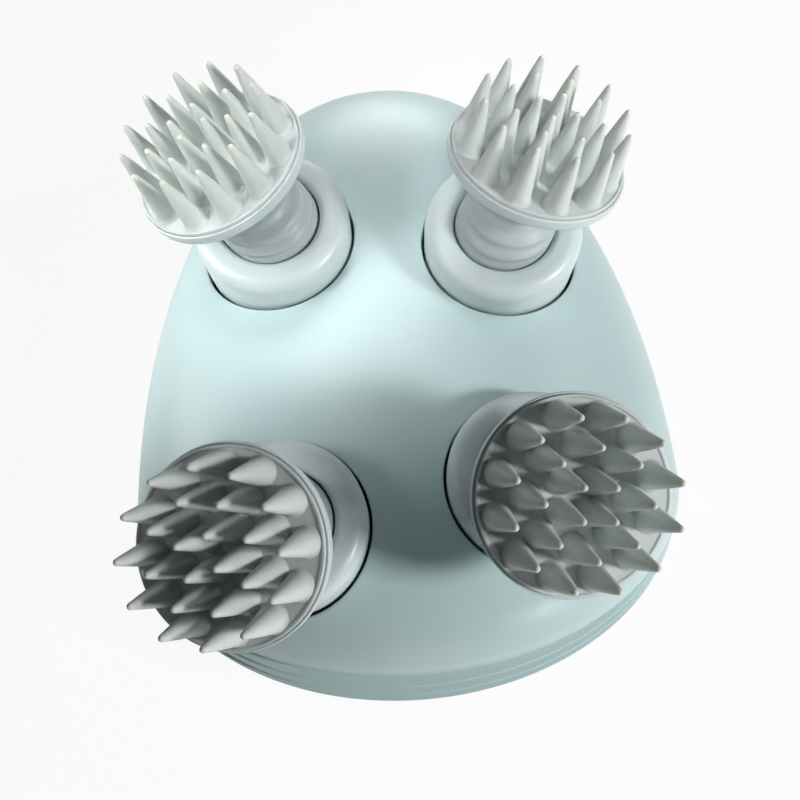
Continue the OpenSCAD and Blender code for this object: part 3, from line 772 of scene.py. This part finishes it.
class MASSAGER_OT_palm_shell(bpy.types.Operator):
    """Palm-side shell with its dish, charging recess and screw holes"""

    bl_idname = "massager.palm_shell"
    bl_label = "Palm shell"

    def execute(self, context):
        egg = Egg(context.scene.massager_housing)
        material = satin_plastic("palm shell satin", context.scene.massager_finish.housing_tone)
        surface = skin(ring_rows(egg, palm_rows(egg)), wrap_columns=True)
        shell = make_piece(
            "palm_shell", [surface], material, "housing", "back_shell"
        )
        through, flange = 8, 0.75
        plug, plugs = (2.9, through), ((43.5, -14), (23, 46))
        dish, bezel, recess = (11, 1.4), (9, through), (6.5, 0.6)
        low, high = node_box("charge_contacts")
        half_length, half_width, _ = (high - low) / 2
        pin, spacing = (half_width - flange, through), half_length - half_width
        holes = [(side * x, y, *plug) for x, y in plugs for side in (-1, 1)]
        holes += [(*BUTTON_AT[:2], *dish), (*BUTTON_AT[:2], *bezel), (*CHARGE_AT[:2], *recess)]
        holes += [(CHARGE_AT[0] + side * spacing, CHARGE_AT[1], *pin) for side in (-1, 1)]
        for hole in holes:
            cut_round(shell, *hole)
        shade_piece(shell, material, crease=30)
        return {"FINISHED"}


class MASSAGER_OT_trim(bpy.types.Operator):
    """Stepped trim band between the shells"""

    bl_idname = "massager.trim"
    bl_label = "Stepped trim"

    def execute(self, context):
        egg = Egg(context.scene.massager_housing)
        material = satin_plastic("trim satin", context.scene.massager_finish.housing_tone)
        surface = skin(ring_rows(egg, trim_rows(egg)), wrap_rows=True, wrap_columns=True)
        make_piece("stepped_trim", [surface], material, "housing", "trim_band")
        return {"FINISHED"}


class MASSAGER_OT_dome(bpy.types.Operator):
    """Domed shell with four openings, each with a rounded edge and a skirt"""

    bl_idname = "massager.dome"
    bl_label = "Domed shell"

    def execute(self, context):
        egg = Egg(context.scene.massager_housing)
        material = satin_plastic("dome satin", context.scene.massager_finish.housing_tone)
        surfaces = [surface for head in HEADS for surface in quarter_surfaces(egg, head)]
        make_piece("domed_shell", surfaces, material, "housing", "front_shell")
        return {"FINISHED"}


# ---- Head operators: heights are over the pivot of the lean ----

HEAD_SEGMENTS = 128
FINGER_RINGS = ((12.5, 12), (8.0, 8), (3.35, 4))  # radius of the ring, fingers in it
FINGER_TURN = 15


class MASSAGER_OT_cups(bpy.types.Operator):
    """Turning cups with a broad round shoulder and a bowl"""

    bl_idname = "massager.cups"
    bl_label = "Cups"

    def execute(self, context):
        settings = context.scene.massager_heads
        material = satin_plastic("cup satin", context.scene.massager_finish.cup_tone)
        rim, bowl = settings.cup_radius / MM, settings.bowl_radius / MM
        top, floor, low, ceiling = 7.2, -4.2, -CUP_DROP, 1.5
        skirt, hub, bore, hub_low = rim - 1.8, 4.6, 2.9, low + 0.4
        profile = soften([
            (0, floor, 0), (bowl - 1.1, floor, 1.0), (bowl - 0.1, 3, 3), (bowl, top, 1.3),
            (rim, top, 4.2), (rim, low, 0.3), (skirt, low, 0.2), (skirt, ceiling, 0.5),
            (bowl + 1.2, ceiling, 0.5), (bowl + 0.9, floor - 2, 0.5), (5.4, floor - 2, 0.3),
            (hub, hub_low, 0.2), (bore, hub_low, 0), (bore, floor - 1, 0), (0, floor - 1, 0),
        ], 9)
        surface = skin(turned(profile, HEAD_SEGMENTS), wrap_columns=True)
        make_head_pieces("cup_", [surface], material, "collar_")
        return {"FINISHED"}


def neck_profile(top):
    """Neck: a bell that narrows as (1 - u^2)^0.8, a flare under the plate, and ripples.

    The flare grows as e^((h - top) / rise), and the ripples are a sine that fades out both ways.
    """
    foot, throat, bell_low, bell_high = 9.32, 5.2, 5.2, 12.5
    flare, flare_rise = 3.4, 1.5
    depth, pitch, start, middle, reach = 0.24, 1.9, 5.4, 9.2, 2.9
    height = np.linspace(1.5, top, 150)
    u = np.clip((height - bell_low) / (bell_high - bell_low), 0, 1)
    bell = throat + (foot - throat) * (1 - u**2) ** 0.8
    bell = bell + flare * np.exp((height - top) / flare_rise)
    fade = np.exp(-(((height - middle) / reach) ** 4))
    ripples = depth * np.sin(2 * np.pi * (height - start) / pitch) * fade
    wall = np.stack([bell + ripples, height], axis=1)
    return np.vstack([(0, height[0]), wall, (0, top)])


class MASSAGER_OT_necks(bpy.types.Operator):
    """Soft necks: rippled bells that fill the bowls, bend over to the lean and flare at the top"""

    bl_idname = "massager.necks"
    bl_label = "Necks"

    def execute(self, context):
        settings, tone = context.scene.massager_heads, context.scene.massager_finish.neck_tone
        material = soft_silicone(
            "neck silicone", tone, tone, translucency=0.15, roughness=(0.36, 0.46)
        )
        bend_low, bend_length = 3.5, 11
        points, faces = skin(turned(neck_profile(settings.stalk / MM)), wrap_columns=True)
        share = np.clip((points[:, 2] - bend_low) / bend_length, 0, 1)
        lean = settings.lean * share**2 * (3 - 2 * share)
        make_head_pieces(
            "neck_piece_", [(points, faces)], material, "neck_",
            lean=lean, rise=np.zeros(len(points)),
        )
        return {"FINISHED"}


class MASSAGER_OT_plates(bpy.types.Operator):
    """Round trays that carry the silicone pads"""

    bl_idname = "massager.plates"
    bl_label = "Brush plates"

    def execute(self, context):
        settings = context.scene.massager_heads
        material = satin_plastic("plate satin", context.scene.massager_finish.cup_tone)
        radius, back = settings.pad_radius / MM, settings.stalk / MM
        edge, tray = back + 2.15, back + PLATE_THICK
        profile = soften([
            (0, back, 0), (radius - 0.1, back, 0.6), (radius, edge, 0.2),
            (radius - 0.38, edge, 0.12), (radius - 0.4, tray, 0), (0, tray, 0),
        ], 6)
        surface = skin(turned(profile, HEAD_SEGMENTS), wrap_columns=True)
        make_head_pieces(
            "brush_plate_", [surface], material, "plate_", lean=settings.lean
        )
        return {"FINISHED"}


def finger_grid(length, radius, segments=22):
    """A finger and its rise: radius falls as 1 - u^1.2 to a round tip, with a flare at the foot."""
    tip, foot, thin, taper = 0.23 * radius, 1.2, 0.2, 0.77
    flare, flare_rise, sunk = 0.45, 0.3, -0.15
    curl = np.sin(np.linspace(0, np.pi / 2, 6)[1:])
    height = np.concatenate([
        np.linspace(0, foot, 6), np.linspace(foot, length - tip, 9)[1:], length - tip * (1 - curl)
    ])
    u = height / length
    body = radius * (thin + taper * (1 - u**1.2)) + flare * np.exp(-height / flare_rise)
    in_tip = np.clip(height - (length - tip), 0, tip) / tip
    cap = np.sqrt(np.clip(1 - in_tip**2, 0, 1))
    profile = np.stack([body * cap, height], axis=1)
    profile = np.vstack([(0, sunk), (profile[0, 0], sunk), profile])
    rise = np.repeat(np.clip(profile[:, 1] / length, 0, 1), segments)
    return turned(profile, segments), rise


class MASSAGER_OT_brushes(bpy.types.Operator):
    """Silicone pads with a thin lip and rings of tapered fingers"""

    bl_idname = "massager.brushes"
    bl_label = "Brushes"

    def execute(self, context):
        settings, finish = context.scene.massager_heads, context.scene.massager_finish
        material = soft_silicone("pad silicone", finish.silicone_tone, finish.tip_tone)
        radius, base, thick = settings.pad_radius / MM, settings.stalk / MM + PLATE_THICK, 0.9
        under, face = base + 0.02, base + thick
        rim, lip = radius - 0.46, face + 0.28
        pad = soften([
            (0, under, 0), (rim, under, 0.1), (rim, lip, 0.16), (radius - 0.85, lip, 0.16),
            (radius - 1.05, face, 0.2), (0, face, 0),
        ], 6)
        pad_points, pad_faces = skin(turned(pad, HEAD_SEGMENTS), wrap_columns=True)
        grid, rise = finger_grid(settings.finger_length / MM, settings.finger_radius / MM)
        points, faces = skin(grid, wrap_columns=True)
        spots = [
            (reach * math.cos(angle), reach * math.sin(angle), face)
            for reach, count in FINGER_RINGS
            for angle in np.radians(FINGER_TURN + 360 * np.arange(count) / count)
        ]
        fingers = [(points + np.array(spot), faces) for spot in spots]
        heights = np.concatenate([np.zeros(len(pad_points))] + [rise] * len(spots))
        make_head_pieces(
            "brush_pad_", [(pad_points, pad_faces)] + fingers, material, "brush_",
            lean=settings.lean, rise=heights,
        )
        return {"FINISHED"}


# ---- Button operator ----

LIGHT_WIDTH = 0.9


def about_button(profile, wrap_rows=False):
    """Surface of a profile turned about the button's axis."""
    place = np.array([*BUTTON_AT[:2], 0])
    return skin(turned(profile) + place, wrap_rows, wrap_columns=True)


def cap_surface():
    """Cap: its face is hollowed by d (1 - u^2); the flange and the post stand behind it."""
    low, high = node_box("button_cap")
    face, top, radius = low[2], high[2], 6.6
    hollow, depth = radius * 0.8, 0.6
    flange, post, flange_low = node_radius("button_cap"), 2.0, 4.7
    flange_high = flange_low + 0.8
    u = np.linspace(0, 1, 12)
    dish = np.stack([hollow * u, face + depth * (1 - u * u)], axis=1)
    side = soften([
        (hollow, face, 0), (radius, face, 0.5), (radius, flange_low, 0), (flange, flange_low, 0.2),
        (flange, flange_high, 0.2), (post, flange_high, 0), (post, top, 0), (0, top, 0),
    ])
    return about_button(np.vstack([dish, side[1:]]))


def bezel_surface():
    """Bezel: a ring with soft edges and a groove that takes the light ring."""
    low, high = (corner[2] for corner in node_box("button_bezel"))
    inner, outer, groove = 6.95, node_radius("button_bezel"), low + 0.5
    light_out = node_radius("light_ring")
    light_in = light_out - LIGHT_WIDTH
    profile = soften([
        (inner, high, 0), (inner, low, 0.25), (light_in, low, 0.08), (light_in, groove, 0),
        (light_out, groove, 0), (light_out, low, 0.08), (outer, low, 0.12), (outer, high, 0),
    ])
    return about_button(profile, wrap_rows=True)


def light_surface():
    """Light ring: square in section, with its two lower edges rounded."""
    low, high = (corner[2] for corner in node_box("light_ring"))
    outer, face = node_radius("light_ring"), low + 0.05
    inner = outer - LIGHT_WIDTH
    profile = soften([(inner, face, 0.1), (outer, face, 0.1), (outer, high, 0), (inner, high, 0)])
    return about_button(profile, wrap_rows=True)


def spring_surface(low, high, wire=0.35, turns=3, sides=12):
    """Coil of round wire between two box corners: a helix, clockwise as it rises, ends rounded."""
    tip = np.sin(np.linspace(0, np.pi / 2, 5))
    thick = wire * np.concatenate([tip, np.ones(36 * turns), tip[::-1]])[:, None]
    run = np.linspace(0, 1, len(thick))[:, None]
    climb = low[2] + wire + (high[2] - low[2] - 2 * wire) * run
    around = np.linspace(0, 2 * np.pi, sides, endpoint=False)
    out = (high[0] - low[0]) / 2 - wire + thick * np.cos(around)
    angle = -2 * np.pi * turns * run
    middle = (low + high) / 2
    x, y = middle[0] + out * np.cos(angle), middle[1] + out * np.sin(angle)
    return skin(np.stack([x, y, climb + thick * np.sin(around)], axis=-1), wrap_columns=True)


class MASSAGER_OT_button(bpy.types.Operator):
    """Power button on the palm side: dished cap, metal bezel, light ring and return spring"""

    bl_idname = "massager.button"
    bl_label = "Power button"

    def execute(self, context):
        tone = shade(context.scene.massager_finish.housing_tone, 0.94)
        cap_satin = satin_plastic("button satin", tone)
        bezel_metal = metal("anodised bezel", (0.70, 0.71, 0.73))
        clear = moulded("light guide", (0.86, 0.88, 0.85), roughness=(0.2, 0.3), scale=900)
        steel = metal("spring steel", (0.58, 0.58, 0.60))
        low, high = node_box("button_spring")
        for name, surface, material, body, slot, node in (
            ("power_cap", cap_surface(), cap_satin, "power_button", "button_satin", "button_cap"),
            ("bezel_ring", bezel_surface(), bezel_metal, "housing", "bezel_metal", "button_bezel"),
            ("light_guide", light_surface(), clear, "housing", "light_white", "light_ring"),
        ):
            make_piece(name, [surface], material, body, node)
        surface = spring_surface(low, high)
        coil = make_piece("return_spring", [surface], steel, None, "button_spring")
        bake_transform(coil)
        return {"FINISHED"}


# ---- Inner works ----


class MASSAGER_OT_inner_works(bpy.types.Operator):
    """Finishes of the drive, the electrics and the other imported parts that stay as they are"""

    bl_idname = "massager.inner_works"
    bl_label = "Inner works"

    def execute(self, context):
        for finish, tone, names in INNER_FINISHES:
            for node, name in names.items():
                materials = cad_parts[node].data.materials
                materials.clear()
                materials.append(finish(name, tone))
        return {"FINISHED"}


# ---- Stage: metres, as the lamps and the camera take them ----

FLOOR_HALF = 2.0
FLOOR_DROP = 0.0003
AIM_ACROSS = -0.00003

KEY_AIM = (0.0, -0.005, 0.045)
SOFTBOXES = (  # name, place, aim, side of the square, spread in degrees, power
    ("key softbox", (0.467, -0.194, 0.372), KEY_AIM, 0.10, 180, 2.5),
    ("low front softbox", (0.224, -0.394, 0.076), KEY_AIM, 0.03, 180, 0.26),
    ("right gridded softbox", (0.100, 0.040, 0.120), (0.030, 0.010, 0.042), 0.05, 40, 0.0015),
    ("left gridded softbox", (-0.115, 0.008, 0.085), (-0.046, 0.008, 0.040), 0.06, 50, 0.0125),
    ("rear gridded softbox", (0.000, 0.160, 0.070), (0.0, 0.060, 0.036), 0.07, 60, 0.011),
    ("gridded softbox over the middle",
     (0.0, 0.11, 0.21), (-0.003, 0.024, 0.046), 0.05, 24, 0.0025),
    ("gridded softbox over the left flank",
     (-0.05, 0.07, 0.2), (-0.02, 0.008, 0.044), 0.04, 22, 0.0018),
    ("gridded softbox on the rear left head",
     (-0.1, 0.0, 0.16), (-0.024, 0.025, 0.065), 0.05, 30, 0.006),
    ("gridded softbox on the rear right head",
     (0.02, -0.06, 0.2), (0.024, 0.03, 0.07), 0.04, 16, 0.002),
)


def area_light(name, place, aim, size, spread, power):
    """Square softbox, out of sight itself; a narrow spread is that of a gridded one."""
    light = bpy.data.lights.new(name, "AREA")
    light.energy, light.size, light.spread = power, size, math.radians(spread)
    obj = new_object(name, light)
    obj.location = place
    obj.rotation_euler = (Vector(place) - Vector(aim)).to_track_quat("Z", "Y").to_euler()
    obj.visible_camera = False


def light_the_room(scene):
    """Weak even light from all round; seen directly, the room is white, as the floor is."""
    world = bpy.data.worlds.new("studio")
    scene.world = world
    world.use_nodes = True
    nodes, links = world.node_tree.nodes, world.node_tree.links
    room = nodes["Background"]
    set_values(room, {"Color": (0.97, 0.98, 1.0, 1), "Strength": 0.05})
    seen = nodes.new("ShaderNodeBackground")
    set_values(seen, {"Color": (1, 1, 1, 1), "Strength": 1.0})
    path = nodes.new("ShaderNodeLightPath")
    mix = nodes.new("ShaderNodeMixShader")
    links.new(path.outputs["Is Camera Ray"], mix.inputs["Fac"])
    links.new(room.outputs["Background"], mix.inputs[1])
    links.new(seen.outputs["Background"], mix.inputs[2])
    links.new(mix.outputs["Shader"], nodes["World Output"].inputs["Surface"])


def lay_floor():
    """Square floor just under the rest plane."""
    corners = ((-1, -1), (1, -1), (1, 1), (-1, 1))
    points = [(x * FLOOR_HALF, y * FLOOR_HALF, -FLOOR_DROP) for x, y in corners]
    mesh = bpy.data.meshes.new("floor")
    mesh.from_pydata(points, [], [(0, 1, 2, 3)])
    mesh.materials.append(floor_material())
    new_object("floor", mesh)


def place_camera(scene, settings):
    """Camera at its distance from the aim, looking down at the elevation, rolled about its view."""
    data = bpy.data.cameras.new("camera")
    data.sensor_width = 36
    data.lens = settings.lens
    data.clip_start = 0.005
    az, el, roll = settings.azimuth, settings.elevation, settings.roll
    look = Vector((math.sin(az) * math.cos(el), math.cos(az) * math.cos(el), -math.sin(el)))
    level = Vector((math.cos(az), -math.sin(az), 0))
    down = look.cross(level)
    right = math.cos(roll) * level + math.sin(roll) * down
    under = -math.sin(roll) * level + math.cos(roll) * down
    aim = Vector((AIM_ACROSS, HEADS_MID_Y * MM - settings.aim_forward, DOME_HIGH[2] * MM))
    place = Matrix((right, -under, -look)).transposed().to_4x4()
    place.translation = aim - look * settings.distance
    camera = new_object("camera", data)
    camera.matrix_world = place
    scene.camera = camera


class MASSAGER_OT_stage(bpy.types.Operator):
    """Pale floor, soft light and camera"""

    bl_idname = "massager.stage"
    bl_label = "Stage"

    def execute(self, context):
        lay_floor()
        for softbox in SOFTBOXES:
            area_light(*softbox)
        light_the_room(context.scene)
        place_camera(context.scene, context.scene.massager_stage)
        context.scene.view_settings.view_transform = "Standard"
        return {"FINISHED"}


# ---- Add-on ----

OPERATORS = (
    MASSAGER_OT_palm_shell,
    MASSAGER_OT_trim,
    MASSAGER_OT_dome,
    MASSAGER_OT_cups,
    MASSAGER_OT_necks,
    MASSAGER_OT_plates,
    MASSAGER_OT_brushes,
    MASSAGER_OT_button,
    MASSAGER_OT_inner_works,
    MASSAGER_OT_stage,
)

SETTINGS = {
    "massager_housing": HousingSettings,
    "massager_heads": HeadSettings,
    "massager_finish": FinishSettings,
    "massager_stage": StageSettings,
}


class MASSAGER_PT_panel(bpy.types.Panel):
    """Sidebar panel with the settings and a button for each piece"""

    bl_idname = "MASSAGER_PT_panel"
    bl_label = "Scalp Massager"
    bl_space_type = "VIEW_3D"
    bl_region_type = "UI"
    bl_category = "Massager"

    def draw(self, context):
        for name, group in SETTINGS.items():
            box = self.layout.box()
            for setting in group.__annotations__:
                box.prop(getattr(context.scene, name), setting)
        for operator in OPERATORS:
            self.layout.operator(operator.bl_idname)


def register():
    """Registers the settings, the operators and the panel."""
    for cls in (*SETTINGS.values(), *OPERATORS, MASSAGER_PT_panel):
        bpy.utils.register_class(cls)
    for name, group in SETTINGS.items():
        setattr(bpy.types.Scene, name, bpy.props.PointerProperty(type=group))


def unregister():
    """Takes them all away again, in the opposite order."""
    for name in SETTINGS:
        delattr(bpy.types.Scene, name)
    for cls in (MASSAGER_PT_panel, *reversed(OPERATORS), *reversed(list(SETTINGS.values()))):
        bpy.utils.unregister_class(cls)


def main():
    """Builds the massager."""
    register()
    for operator in OPERATORS:
        group, name = operator.bl_idname.split(".")
        getattr(getattr(bpy.ops, group), name)()


if __name__ == "__main__":
    main()
